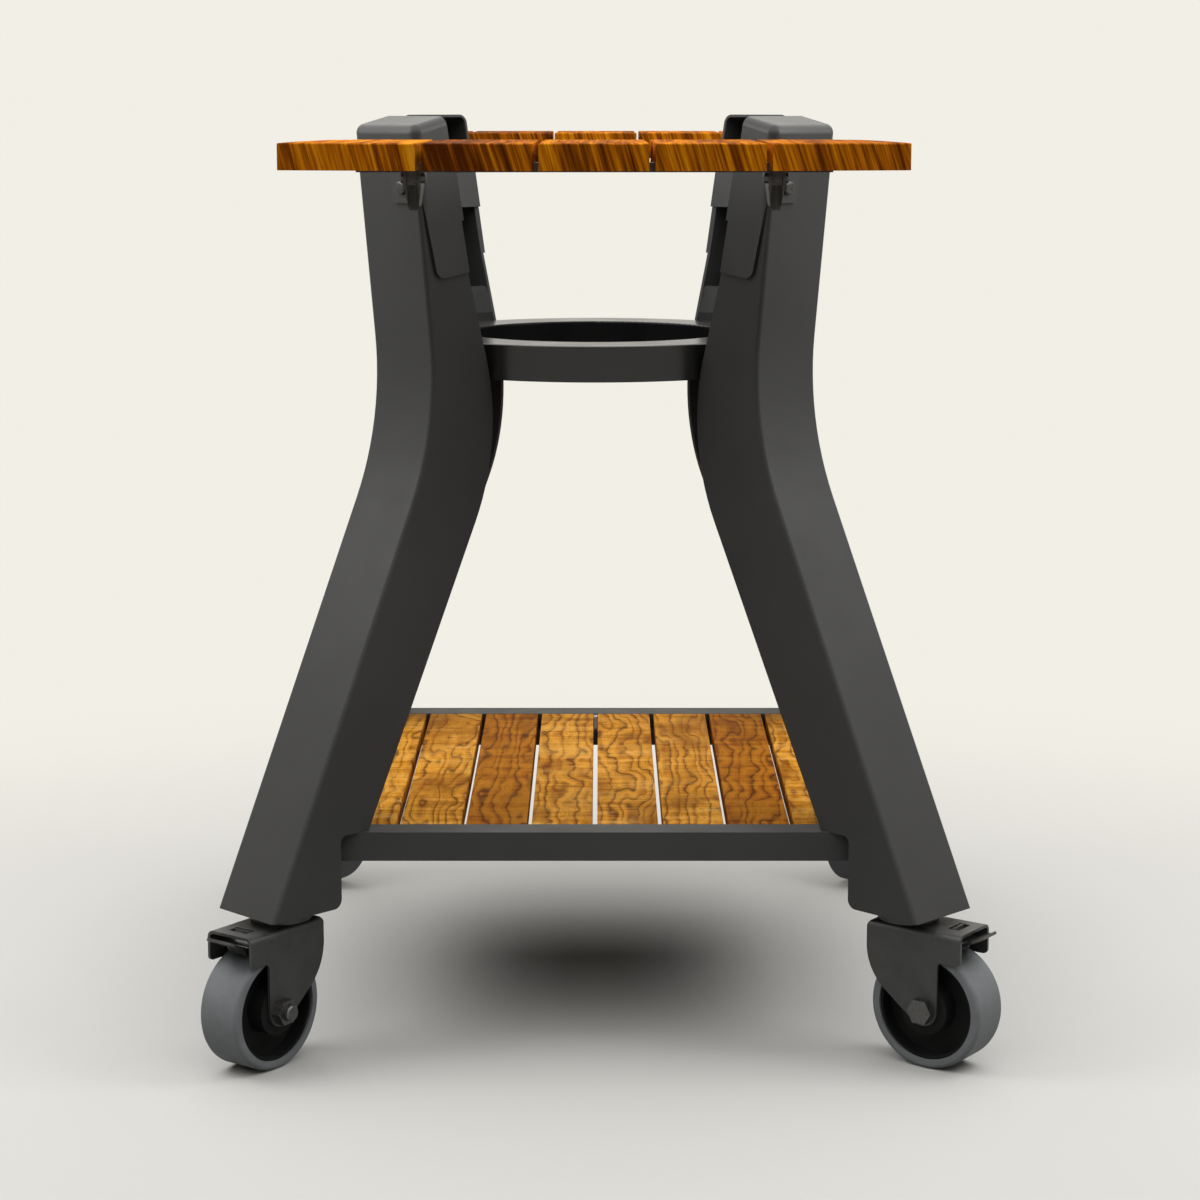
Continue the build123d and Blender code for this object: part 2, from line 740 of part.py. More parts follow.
# Hinge pins: one through each bracket's ears, with a domed head towards the stand's middle
with BuildPart() as hinge_pins:
    for corner, (hand, way) in places.items():
        for end, head in ((-hand * way, hinge_head), (hand * way, hinge_tail)):
            with BuildSketch(sideways(way, hand * bracket_middle).offset(end * bracket_half)):
                with Locations((hinge_reach, pin_height)):
                    Circle(hinge_head_radius)
            extrude(amount=end * head)
        with BuildSketch(sideways(way, hand * bracket_middle)):
            with Locations((hinge_reach, pin_height)):
                Circle(hinge_pin_radius)
        extrude(amount=bracket_half, both=True)
    pin_ends = [face for face in hinge_pins.faces().filter_by(Axis.X) if not face.inner_wires()]
    domes = [face.edges()[0] for face in pin_ends if abs(face.center().X) < bracket_middle]
    fillet(domes, hinge_head_round)
keep(hinge_pins.part, "hinge_pins")

# Side shelves: five boards each on a steel frame; its arms and outer bar are let into their undersides
plank_pitch = plank_width + plank_gap
arm_thickness = 2 * (bracket_inside - run_gap)
arm_end = shelf_reach - shelf_bow - arm_margin
bar_half = bracket_middle + bar_overhang
inner_bar = (shelf_inner + bar_inset, shelf_bottom - seat_gap - bar_thickness)
outer_bar = (shelf_reach - shelf_bow - bar_inset, shelf_bottom)
shelf_ends = shelf_reach - shelf_bow
shelf_inner_half = shelf_half_width - shelf_taper
end_middle = (shelf_half_width + shelf_inner_half) / 2 + shelf_end_bow
end_middle_reach = (shelf_ends + shelf_inner) / 2
middle_plank = (shelf_planks - 1) / 2
shelf_screw_across = [plank_pitch * (number - middle_plank) for number in range(1, shelf_planks - 1)]
end_screw = (bracket_middle + bar_half) / 2
shelf_screw_across += [-end_screw, end_screw]

for way, place in ((-1, "front"), (1, "rear")):
    underside = Plane.XY.offset(shelf_bottom)
    for number in range(shelf_planks):
        left = plank_pitch * (number - middle_plank) - plank_width / 2
        right = left + plank_width
        if number == 0:
            left = -shelf_half_width - plank_gap
        if number == shelf_planks - 1:
            right = shelf_half_width + plank_gap
        with BuildPart() as plank:
            with BuildSketch(underside):
                with BuildLine():
                    outer_left = (-shelf_half_width, way * shelf_ends)
                    outer_right = (shelf_half_width, way * shelf_ends)
                    inner_left = (-shelf_inner_half, way * shelf_inner)
                    inner_right = (shelf_inner_half, way * shelf_inner)
                    ThreePointArc(outer_left, (0, way * shelf_reach), outer_right)
                    ThreePointArc(outer_right, (end_middle, way * end_middle_reach), inner_right)
                    Line(inner_right, inner_left)
                    ThreePointArc(inner_left, (-end_middle, way * end_middle_reach), outer_left)
                make_face()
                fillet(vertices().sort_by_distance(inner_left)[0], shelf_corner)
                fillet(vertices().sort_by_distance(inner_right)[0], shelf_corner)
                with Locations(((left + right) / 2, way * shelf_reach)):
                    Rectangle(right - left, 2 * shelf_reach, mode=Mode.INTERSECT)
            extrude(amount=plank_thickness)
            fillet(plank.faces().sort_by(Axis.Z)[-1].edges(), sheet_round)
            with BuildSketch(underside):
                with Locations((0, way * outer_bar[0])):
                    Rectangle(2 * (bar_half + run_gap), bar_width + 2 * run_gap)
            extrude(amount=bar_thickness + seat_gap, mode=Mode.SUBTRACT)
            with BuildSketch(underside):
                for hand in (-1, 1):
                    with Locations((hand * bracket_middle, way * arm_end / 2)):
                        Rectangle(arm_thickness + 2 * run_gap, arm_end + 2 * run_gap)
            extrude(amount=arm_depth + seat_gap, mode=Mode.SUBTRACT)
            for reach, bar_bottom in (inner_bar, outer_bar):
                with BuildSketch(Plane.XY.offset(bar_bottom)):
                    with Locations(*[(across, way * reach) for across in shelf_screw_across]):
                        Circle(screw_radius + bore_gap)
                extrude(amount=bar_thickness + screw_bite, mode=Mode.SUBTRACT)
        keep(plank.part, f"{place}_shelf_plank_{number + 1}")

    with BuildPart() as shelf_frame:
        for hand in (-1, 1):
            with BuildSketch(sideways(way, hand * bracket_middle)):
                with BuildLine():
                    Polyline(
                        (hinge_reach, pin_height),
                        (shelf_inner, pin_height),
                        (shelf_inner, shelf_bottom),
                        (arm_end, shelf_bottom),
                        (arm_end, shelf_bottom + arm_depth),
                        (hinge_reach, shelf_bottom + arm_depth),
                        close=True,
                    )
                make_face()
                with Locations((hinge_reach, pin_height)):
                    Circle(arm_knuckle)
                    Circle(hinge_pin_radius + bore_gap, mode=Mode.SUBTRACT)
            extrude(amount=arm_thickness / 2, both=True)
            with BuildSketch(sideways(way, hand * bracket_middle)):
                with Locations(inner_bar):
                    Rectangle(bar_width, bar_thickness + arm_depth, align=(Align.CENTER, Align.MIN))
            extrude(amount=arm_thickness / 2, both=True)
        for reach, bar_bottom in (inner_bar, outer_bar):
            with BuildSketch(Plane.XY.offset(bar_bottom)):
                with Locations((0, way * reach)):
                    Rectangle(2 * bar_half, bar_width)
            extrude(amount=bar_thickness)
            with BuildSketch(Plane.XY.offset(bar_bottom)):
                with Locations(*[(across, way * reach) for across in shelf_screw_across]):
                    Circle(screw_radius + bore_gap)
            extrude(amount=bar_thickness, mode=Mode.SUBTRACT)
            with BuildSketch(Plane.XY.offset(bar_bottom)):
                with Locations(*[(across, way * reach) for across in shelf_screw_across]):
                    Circle(screw_head_radius + bore_gap)
            extrude(amount=screw_head, mode=Mode.SUBTRACT)
    keep(shelf_frame.part, f"{place}_shelf_frame")

    with BuildPart() as shelf_screws:
        for reach, bar_bottom in (inner_bar, outer_bar):
            with BuildSketch(Plane.XY.offset(bar_bottom)):
                with Locations(*[(across, way * reach) for across in shelf_screw_across]):
                    Circle(screw_head_radius)
            extrude(amount=screw_head)
            with BuildSketch(Plane.XY.offset(bar_bottom)):
                with Locations(*[(across, way * reach) for across in shelf_screw_across]):
                    Circle(screw_radius)
            extrude(amount=bar_thickness + screw_bite - run_gap)
    keep(shelf_screws.part, f"{place}_shelf_screws")

# Caster plates: welded into the feet, each with a swivel race and a kingpin
plate_inner = foot_edge + run_gap
plate_outer = lower_web(foot_height + plate_thickness) - level_wall - run_gap
race_bottom = fork_top + run_gap

with BuildPart() as caster_plates:
    for corner, (angle, side) in corners.items():
        with BuildSketch(level(angle, (plate_inner + plate_outer) / 2, foot_height)):
            RectangleRounded(plate_outer - plate_inner, 2 * (half_channel - seat_gap), leg_bend)
        extrude(amount=plate_thickness)
        with BuildSketch(level(angle, swivel_reach, race_bottom)):
            Circle(race_radius)
        extrude(amount=foot_height - race_bottom)
        with BuildSketch(level(angle, swivel_reach, crown_underside - run_gap)):
            Circle(kingpin_radius)
        extrude(amount=race_bottom + run_gap - crown_underside)
        with BuildSketch(level(angle, swivel_reach, crown_underside - run_gap)):
            Circle(kingpin_head_radius)
        extrude(amount=-kingpin_head)
keep(caster_plates.part, "caster_plates")

# Casters: a folded fork with its axle bolt, a tyre on a core, and a brake pedal above the tread
eye_front = caster_trail + fork_eye_radius
fork_length = fork_inner_reach + fork_outer_reach
fork_back = (-fork_inner_reach, fork_top)
fork_turn = (-fork_inner_reach, fork_top - fork_shoulder)
cheek_end = (fork_outer_reach, fork_top - fork_cheek)
cheek_start = (eye_front, fork_top - fork_cheek)
axle_centre = (caster_trail, axle_height)
axle_end = fork_outside + axle_nut + axle_tail
tyre_inner = wheel_radius - tyre_depth
core_outer = tyre_inner - bore_gap
pedal_height = fork_top - pedal_pivot_drop
pedal_pivot = (pedal_pivot_reach, pedal_height)
pedal_arm = (pedal_arm_reach, fork_top - pedal_arm_drop)
pedal_bend = (pedal_bend_reach, fork_top - pedal_bend_drop)
pedal_end = (pedal_reach, fork_top - pedal_end_drop)


def shoe_corner(reach):
    """A corner of the brake shoe: set over the tread with the brake on, then turned back about the pin."""
    above = axle_height + sqrt((wheel_radius + brake_gap) ** 2 - (reach - caster_trail) ** 2) - pedal_height
    beyond = reach - pedal_pivot_reach
    turn = radians(brake_travel)
    return (
        pedal_pivot_reach + beyond * cos(turn) - above * sin(turn),
        pedal_height + beyond * sin(turn) + above * cos(turn),
    )


for corner, (angle, side) in corners.items():
    profile = along_wheel(angle)
    with BuildPart() as fork:
        with BuildSketch(across_wheel(angle, -fork_inner_reach)):
            Rectangle(2 * fork_outside, fork_top, align=(Align.CENTER, Align.MIN))
            fillet(vertices().group_by(Axis.Y)[-1], fork_bend)
        extrude(amount=fork_length)
        with BuildSketch(across_wheel(angle, -fork_inner_reach)):
            Rectangle(2 * fork_inside, crown_underside, align=(Align.CENTER, Align.MIN))
            fillet(vertices().group_by(Axis.Y)[-1], fork_bend - fork_wall)
        extrude(amount=fork_length, mode=Mode.SUBTRACT)
        with BuildSketch(profile):
            with Locations(axle_centre):
                Circle(fork_eye_radius)
            with Locations(fork_back):
                Rectangle(eye_front + fork_inner_reach, fork_shoulder, align=(Align.MIN, Align.MAX))
            make_hull()
            with Locations((caster_trail, fork_top)):
                Rectangle(fork_outer_reach - caster_trail, fork_cheek, align=(Align.MIN, Align.MAX))
            fillet(vertices().sort_by_distance(fork_turn)[0], fork_back_bend)
            fillet(vertices().sort_by_distance(fork_back)[0], fork_back_corner)
            fillet(vertices().sort_by_distance(cheek_end)[0], fork_corner)
            fillet(vertices().sort_by_distance(cheek_start)[0], fork_corner)
        extrude(amount=fork_outside, both=True, mode=Mode.INTERSECT)
        with BuildSketch(over_wheel(angle, crown_underside)):
            Circle(kingpin_radius + bore_gap)
            with Locations((slot_reach, 0)):
                Rectangle(slot_length, pedal_tongue + 2 * slot_margin)
        extrude(amount=fork_wall, mode=Mode.SUBTRACT)
        with BuildSketch(profile):
            with Locations(axle_centre):
                Circle(axle_radius + bore_gap)
            with Locations(pedal_pivot):
                Circle(pedal_pin_radius + bore_gap)
        extrude(amount=fork_outside, both=True, mode=Mode.SUBTRACT)
    keep(fork.part, f"caster_fork_{corner}")

    with BuildPart() as axle:
        with BuildSketch(profile.offset(fork_outside)):
            with Locations(axle_centre):
                Circle(axle_radius)
        extrude(amount=-(fork_outside + axle_end))
        tail_point = profile.from_local_coords(Vector(caster_trail, axle_height, -axle_end))
        rims = axle.edges().filter_by(GeomType.CIRCLE).sort_by_distance(tail_point)
        chamfer(rims[0], axle_chamfer)
        with BuildSketch(profile.offset(fork_outside)):
            with Locations(axle_centre):
                RegularPolygon(axle_head_radius, 6)
        extrude(amount=axle_head)
        with BuildSketch(profile.offset(-fork_outside)):
            with Locations(axle_centre):
                RegularPolygon(axle_head_radius, 6)
                Circle(axle_radius + bore_gap, mode=Mode.SUBTRACT)
        extrude(amount=-axle_nut)
    keep(axle.part, f"caster_axle_{corner}")

    with BuildPart() as tyre:
        with BuildSketch(profile):
            with Locations(axle_centre):
                Circle(wheel_radius)
        extrude(amount=wheel_width / 2, both=True)
        fillet(tyre.edges(), tyre_shoulder)
        with BuildSketch(profile):
            with Locations(axle_centre):
                Circle(tyre_inner)
        extrude(amount=wheel_width, both=True, mode=Mode.SUBTRACT)
    keep(tyre.part, f"wheel_tyre_{corner}")

    with BuildPart() as core:
        with BuildSketch(profile):
            with Locations(axle_centre):
                Circle(core_outer)
                Circle(core_outer - core_rim, mode=Mode.SUBTRACT)
        extrude(amount=core_rim_width / 2, both=True)
        with BuildSketch(profile):
            with Locations(axle_centre):
                Circle(core_outer - core_rim / 2)
        extrude(amount=core_web / 2, both=True)
        with BuildSketch(profile):
            with Locations(axle_centre):
                Circle(hub_radius)
        extrude(amount=fork_inside - hub_play, both=True)
        with BuildSketch(profile):
            with Locations(axle_centre):
                Circle(axle_radius + bore_gap)
        extrude(amount=fork_inside, both=True, mode=Mode.SUBTRACT)
    keep(core.part, f"wheel_core_{corner}")

    with BuildPart() as pedal:
        with BuildSketch(profile):
            with BuildLine():
                FilletPolyline(pedal_arm, pedal_bend, pedal_end, radius=pedal_bend_radius)
            trace(line_width=pedal_wall)
        extrude(amount=pedal_half_width, both=True)
        beyond_tip = 2 * Vector(*pedal_end) - Vector(*pedal_bend)
        tip = pedal.faces().sort_by_distance(profile.from_local_coords(beyond_tip))[0]
        fillet(tip.edges().sort_by(SortBy.LENGTH)[:2], pedal_corner)
        with BuildSketch(profile):
            with BuildLine():
                Polyline(
                    (pedal_pivot_reach, pedal_height + pedal_pin_radius),
                    pedal_arm,
                    pedal_bend,
                    shoe_corner(shoe_start + shoe_length),
                    shoe_corner(shoe_start),
                    (pedal_pivot_reach, pedal_height - pedal_pin_radius),
                    close=True,
                )
            make_face()
        extrude(amount=shoe_half_width, both=True)
        with BuildSketch(profile):
            with Locations(pedal_arm):
                Rectangle(pedal_wall, pedal_arm_drop - seat_gap, align=(Align.CENTER, Align.MIN))
        extrude(amount=pedal_tongue / 2, both=True)
        with BuildSketch(profile):
            with Locations(pedal_pivot):
                Circle(pedal_pin_radius)
        extrude(amount=fork_outside, both=True)
    keep(pedal.part, f"brake_pedal_{corner}")
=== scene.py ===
from math import radians

import bpy
import numpy as np
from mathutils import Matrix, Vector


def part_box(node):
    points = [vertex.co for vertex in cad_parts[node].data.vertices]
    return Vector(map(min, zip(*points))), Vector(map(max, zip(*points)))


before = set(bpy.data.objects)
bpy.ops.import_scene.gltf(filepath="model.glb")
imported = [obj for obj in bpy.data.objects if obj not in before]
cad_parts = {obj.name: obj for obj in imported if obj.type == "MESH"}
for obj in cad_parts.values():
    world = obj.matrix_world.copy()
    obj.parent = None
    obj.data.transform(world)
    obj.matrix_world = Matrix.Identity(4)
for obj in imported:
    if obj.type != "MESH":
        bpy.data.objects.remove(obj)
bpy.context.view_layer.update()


# Legs: four folded channels of 3 mm sheet steel with a swept knee, standing on the diagonals.
# They are blasted and powder coated in a dark satin grey with a faint orange-peel skin.
# They are bolted to the ring's tabs above the knee and welded to the lower rails at the feet.
corners = ("front_left", "front_right", "rear_right", "rear_left")


class Nodes:
    """A shader node tree with short ways to add and join its nodes."""

    def __init__(self, tree):
        self.tree = tree

    def feed(self, socket, value):
        """Links a socket to another node's output, or sets it to a constant."""
        if isinstance(value, bpy.types.NodeSocket):
            self.tree.links.new(value, socket)
        else:
            socket.default_value = value

    def add(self, kind, inputs, **settings):
        node = self.tree.nodes.new(kind)
        for key, value in settings.items():
            setattr(node, key, value)
        for key, value in inputs.items():
            self.feed(node.inputs[key], value)
        return node

    def calc(self, operation, *values):
        """One arithmetic step on one or two values."""
        node = self.add("ShaderNodeMath", {}, operation=operation)
        for socket, value in zip(node.inputs, values):
            self.feed(socket, value)
        return node.outputs["Value"]

    def total(self, *shares):
        """The sum of values, each times its own weight."""
        result = None
        for value, weight in shares:
            part = self.calc("MULTIPLY", value, weight)
            result = part if result is None else self.calc("ADD", result, part)
        return result

    def spread(self, value, low, high, new_low, new_high, soft=False):
        """A value from low to high, moved to the range from new_low to new_high and kept in it."""
        return self.add("ShaderNodeMapRange", {"Value": value, "From Min": low, "From Max": high,
                                               "To Min": new_low, "To Max": new_high},
                        interpolation_type="SMOOTHSTEP" if soft else "LINEAR").outputs["Result"]

    def length(self, vector):
        return self.add("ShaderNodeVectorMath", {0: vector}, operation="LENGTH").outputs["Value"]


class Finish(Nodes):
    """A surface finish: a material whose nodes work in the piece's own coordinates, in metres."""

    def __init__(self, name):
        self.material = bpy.data.materials.new(name)
        self.material.use_nodes = True
        super().__init__(self.material.node_tree)
        self.shader = self.tree.nodes["Principled BSDF"]

    def place(self, at=(0, 0, 0), turn=(0, 0, 0), size=(1, 1, 1)):
        """Object coordinates seen from a point, turned, then divided by size along each axis."""
        spot = self.add("ShaderNodeTexCoord", {}).outputs["Object"]
        return self.add("ShaderNodeMapping", {"Vector": spot, "Location": at, "Rotation": turn,
                                              "Scale": size}, vector_type="TEXTURE").outputs["Vector"]

    def noise(self, spot, scale, detail=2.0, roughness=0.5):
        """Cloudy noise with about that many clouds per metre."""
        return self.add("ShaderNodeTexNoise", {"Vector": spot, "Scale": scale, "Detail": detail,
                                               "Roughness": roughness}).outputs["Fac"]

    def ramp(self, value, *stops):
        """A colour for the value, blended between stops of a position and a colour."""
        node = self.add("ShaderNodeValToRGB", {"Fac": value})
        marks = node.color_ramp.elements
        while len(marks) < len(stops):
            marks.new(0.5)
        for mark, (position, colour) in zip(marks, stops):
            mark.position = position
            mark.color = (*colour, 1.0)
        return node.outputs["Color"]

    def blend(self, share, first, second, way="MIX"):
        """The first colour with that share of the second over it."""
        node = self.add("ShaderNodeMix", {}, data_type="RGBA", blend_type=way)
        factor, under, over = node.inputs[0], node.inputs[6], node.inputs[7]
        for socket, value in zip((factor, under, over), (share, first, second)):
            ready = isinstance(value, (bpy.types.NodeSocket, float))
            self.feed(socket, value if ready else (*value, 1.0))
        return node.outputs[2]

    def bump(self, height, depth):
        """A bump of that depth in metres."""
        return self.add("ShaderNodeBump", {"Height": height, "Distance": depth,
                                           "Strength": 1.0}).outputs["Normal"]

    def surface(self, **sockets):
        names = {"colour": "Base Color", "rough": "Roughness", "metal": "Metallic", "normal": "Normal",
                 "shine": "Specular IOR Level"}
        for key, value in sockets.items():
            self.feed(self.shader.inputs[names[key]], value)
        return self.material


def clad(nodes, material):
    """Gives CAD nodes a material in place of their plain one."""
    for node in nodes:
        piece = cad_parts[node]
        piece.data.materials.clear()
        piece.data.materials.append(material)


def powder_coat(name, dark, light, peel=0.00006, rough=(0.42, 0.54), shine=0.2, bore=0.0):
    """Satin coat: slow cloudy tone, fine speckle in the tone, and orange-peel dimples about 1.5 mm apart.
    Nearer to the upright middle line than the bore it is painted black and dull, as painted shade on a
    shadowed inner wall."""
    coat = Finish(name)
    spot = coat.place()
    cloud = coat.noise(spot, scale=9.0, detail=3.0)
    fleck = coat.noise(spot, scale=2600.0, detail=1.0)
    dimples = coat.noise(spot, scale=650.0, roughness=0.45)
    colour = coat.ramp(coat.total((cloud, 0.75), (fleck, 0.25)), (0.32, dark), (0.68, light))
    if bore:
        flattened = (1, 1, 1000)
        # Painted shade: the ring's inner wall, out to 1.5 mm past the bore, is painted near-black and dull.
        bore_shade, bore_shade_shine, bore_shade_edge = (0.006, 0.006, 0.006), 0.03, bore + 0.0015
        reach = coat.length(coat.place(size=flattened))
        colour = coat.blend(coat.spread(reach, bore, bore_shade_edge, 1.0, 0.0), colour, bore_shade)
        shine = coat.spread(reach, bore, bore_shade_edge, bore_shade_shine, shine)
    return coat.surface(
        colour=colour,
        rough=coat.spread(coat.noise(spot, scale=26.0, detail=3.0), 0.3, 0.7, *rough),
        shine=shine,
        normal=coat.bump(dimples, peel),
    )


leg_dark, leg_light = (0.041, 0.041, 0.0395), (0.050, 0.050, 0.0485)
leg_coat = powder_coat("leg_powder_coat", leg_dark, leg_light)
clad([f"leg_{corner}" for corner in corners], leg_coat)


# Leg caps: pressed steel hoods, open inwards, that close the leg tops and hold by a tab down each flange.
# They carry the same powder coat as the legs, rubbed a little smoother.
cap_coat = powder_coat("cap_powder_coat", (0.043, 0.043, 0.0418), (0.052, 0.052, 0.0505),
                       peel=0.00002, rough=(0.30, 0.38), shine=0.28)
clad([f"leg_cap_{corner}" for corner in corners], cap_coat)


# Support ring: a turned-down steel ring that seats the grill, bolted by four bent tabs to the legs.
# Ring and tabs have a smooth, darker powder coat, and the ring's inner wall is painted black and dull as
# painted shade.
# The bolts are zinc plated.
ring_bore = 0.1194
ring_coat = powder_coat("ring_powder_coat", (0.019, 0.019, 0.0185), (0.025, 0.025, 0.0243),
                        peel=0.00001, rough=(0.20, 0.26), shine=0.4, bore=ring_bore)
clad(["support_ring", "ring_brackets"], ring_coat)


def plated_steel(name, dark, light, rough=(0.26, 0.42)):
    """Zinc plate: a crystalline mottle of a few millimetres, fine turning scratches and a soft gloss."""
    plate = Finish(name)
    mottle = plate.noise(plate.place(), scale=420.0, detail=3.0, roughness=0.6)
    scratch = plate.noise(plate.place(size=(1, 1, 0.08)), scale=700.0)
    return plate.surface(
        colour=plate.ramp(mottle, (0.3, dark), (0.7, light)),
        metal=1.0,
        rough=plate.spread(mottle, 0.3, 0.7, *rough),
        normal=plate.bump(scratch, 0.00003),
    )


zinc_plate = plated_steel("bolt_zinc_plate", (0.13, 0.13, 0.132), (0.22, 0.22, 0.223))
clad(["ring_bolts"], zinc_plate)


# Lower frame: four lengths of rectangular steel tube welded between the legs, with angle ledges inside.
# The tube's powder coat is duller than that of the legs and ledges, and a shade lighter as painted light that
# stands in for the floor's bounce onto the low rails.
rail_coat = powder_coat("rail_powder_coat", (0.058, 0.058, 0.057), (0.070, 0.070, 0.069), shine=0.12)
clad([f"lower_rail_{side}" for side in ("front", "rear", "left", "right")], rail_coat)
clad(["plank_ledges"], leg_coat)


# Lower planks: eight boards of oiled, honey-coloured hardwood with wavy figure, screwed to the ledges.
# Growth lines wander along each board, ripple figure crosses it, and some boards are darker.
# The undersides are painted dark grey as painted shade, which also keeps a brown bounce out of the floor's
# shadow; screws and clip are bright zinc.
plank_count, plank_pitch = 8, 0.056575
plank_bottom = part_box("lower_planks")[0][2]


def figured_wood(name, lines_per_metre=90.0, seed_step=0.731, first_dark_board=2.0):
    """Growth lines are the fraction of the distance across a board times their number per metre, moved by
    noise: a slow sway, a wobble, a fine jitter, and a bunching that varies their spacing. Every second line
    is strong, and two thin ones lie between neighbours. Cross ripple, stain and pores lie over them. Every
    board has a seed of its own, and every fourth one is darker, as a cosine of its number."""
    wood = Finish(name)
    spot = wood.add("ShaderNodeSeparateXYZ", {"Vector": wood.place()}).outputs
    from_edge = wood.calc("ADD", spot["X"], plank_pitch * plank_count / 2)
    board = wood.calc("FLOOR", wood.calc("DIVIDE", from_edge, plank_pitch))
    seed = wood.calc("MULTIPLY", board, seed_step)

    def on_board(across, along):
        return wood.add("ShaderNodeCombineXYZ", {
            "X": wood.calc("MULTIPLY", spot["X"], across),
            "Y": wood.calc("MULTIPLY", spot["Y"], along),
            "Z": wood.calc("ADD", seed, wood.calc("MULTIPLY", spot["Z"], across)),
        }).outputs["Vector"]

    sway = wood.noise(on_board(1.0, 0.30), scale=9.0, detail=1.0, roughness=0.4)
    wobble = wood.noise(on_board(0.45, 0.34), scale=36.0, detail=1.0)
    jitter = wood.noise(on_board(0.6, 0.30), scale=120.0, detail=1.0)
    bunch = wood.noise(on_board(1.0, 0.08), scale=60.0, detail=1.0)
    lines = wood.total((spot["X"], lines_per_metre), (sway, 8.0), (wobble, 2.9), (jitter, 0.9), (bunch, 3.0))
    each = wood.calc("FRACT", lines)
    strong = wood.calc("FRACT", wood.calc("MULTIPLY", lines, 0.5))
    thin = wood.calc("FRACT", wood.calc("MULTIPLY", lines, 3.0))
    patches = wood.noise(on_board(1.0, 0.5), scale=26.0)
    ripple = wood.noise(on_board(0.45, 2.4), scale=30.0, detail=4.0, roughness=0.75)
    stain = wood.noise(on_board(1.0, 0.45), scale=16.0, detail=3.0, roughness=0.6)
    pores = wood.noise(on_board(3.0, 0.5), scale=420.0, roughness=0.6)
    past_dark = wood.calc("SUBTRACT", board, first_dark_board)
    turn = wood.calc("COSINE", wood.calc("MULTIPLY", past_dark, radians(90.0)))

    grain = wood.ramp(each, (0.0, (0.18, 0.048, 0.0010)), (0.10, (0.34, 0.108, 0.0040)),
                      (0.28, (0.82, 0.365, 0.032)), (0.68, (0.76, 0.322, 0.025)), (1.0, (0.33, 0.103, 0.003)))
    plain = wood.ramp(sway, (0.3, (0.61, 0.240, 0.013)), (0.7, (0.84, 0.400, 0.050)))
    colour = wood.blend(wood.spread(patches, 0.32, 0.52, 0.22, 1.0), plain, grain)
    colour = wood.blend(wood.spread(strong, 0.16, 0.02, 0.0, 0.92), colour, (0.060, 0.013, 0.0003))
    colour = wood.blend(wood.spread(thin, 0.35, 0.0, 0.0, 0.45), colour, (0.30, 0.095, 0.003))
    colour = wood.blend(wood.spread(ripple, 0.46, 0.68, 0.0, 0.55), colour, (0.90, 0.52, 0.15))
    colour = wood.blend(wood.spread(ripple, 0.48, 0.32, 0.0, 0.70), colour, (0.26, 0.078, 0.0016))
    colour = wood.blend(wood.spread(stain, 0.50, 0.72, 0.0, 0.80), colour, (0.22, 0.062, 0.0014))
    colour = wood.blend(wood.spread(turn, 0.2, 1.0, 0.0, 1.0), colour, (0.60, 0.47, 0.22), "MULTIPLY")
    colour = wood.blend(wood.spread(pores, 0.56, 0.72, 0.0, 0.35), colour, (0.15, 0.042, 0.002))
    # Painted shade: the bottom 1.5 mm of the boards, their undersides, is painted dark grey.
    underside_shade, underside_shade_start, underside_shade_end = (0.022, 0.021, 0.020), plank_bottom + 0.0005, plank_bottom + 0.0015
    return wood.surface(
        colour=wood.blend(wood.spread(spot["Z"], underside_shade_start, underside_shade_end, 1.0, 0.0), colour, underside_shade),
        rough=wood.spread(ripple, 0.3, 0.7, 0.60, 0.74),
        shine=0.04,
        normal=wood.bump(wood.total((pores, -0.5), (each, 0.3)), 0.00012),
    )


clad(["lower_planks"], figured_wood("oiled_figured_hardwood"))
bright_zinc = plated_steel("clip_zinc_plate", (0.55, 0.56, 0.58), (0.70, 0.71, 0.73))
clad(["lower_plank_screws", "plank_clip"], bright_zinc)


# Shelf brackets: bent sheet arms bolted to the legs under the side shelves, with the hinge pins through them.
# The wings on the legs carry the leg coat, and the arms are brushed steel under a thin dark lacquer, painted
# lighter as painted light for the shade under the shelves.
# Bolts and pins are blackened steel.
def bracket_sheet(name, leg_face):
    """Coated sheet with cloudy tone up to the leg's face, brushed sheet with upright strokes beyond it,
    painted lighter as painted light for its shade.
    """
    sheet = Finish(name)
    spot = sheet.place()
    cloud = sheet.noise(spot, scale=9.0, detail=3.0)
    strokes = sheet.noise(sheet.place(size=(1, 1, 14)), scale=420.0, detail=3.0, roughness=0.6)
    coat = sheet.ramp(cloud, (0.32, leg_dark), (0.68, leg_light))
    # Painted light: the brushed steel is a lighter tone than the sheet has, for the shade under the shelves.
    steel = sheet.ramp(strokes, (0.34, (0.080, 0.075, 0.067)), (0.66, (0.170, 0.161, 0.147)))
    reach = sheet.calc("ABSOLUTE", sheet.add("ShaderNodeSeparateXYZ", {"Vector": spot}).outputs["Y"])
    coat_end = leg_face + 0.002
    return sheet.surface(
        colour=sheet.blend(sheet.spread(reach, leg_face, coat_end, 0.0, 1.0), coat, steel),
        rough=sheet.spread(strokes, 0.3, 0.7, 0.40, 0.54),
        shine=0.25,
        normal=sheet.bump(strokes, 0.00003),
    )


brushed_sheet_painted_light = bracket_sheet("bracket_brushed_sheet", leg_face=0.204)
black_steel = plated_steel("blackened_steel", (0.045, 0.045, 0.044), (0.075, 0.075, 0.074))
clad([f"shelf_bracket_{corner}" for corner in corners], brushed_sheet_painted_light)
clad(["bracket_bolts", "hinge_pins"], black_steel)
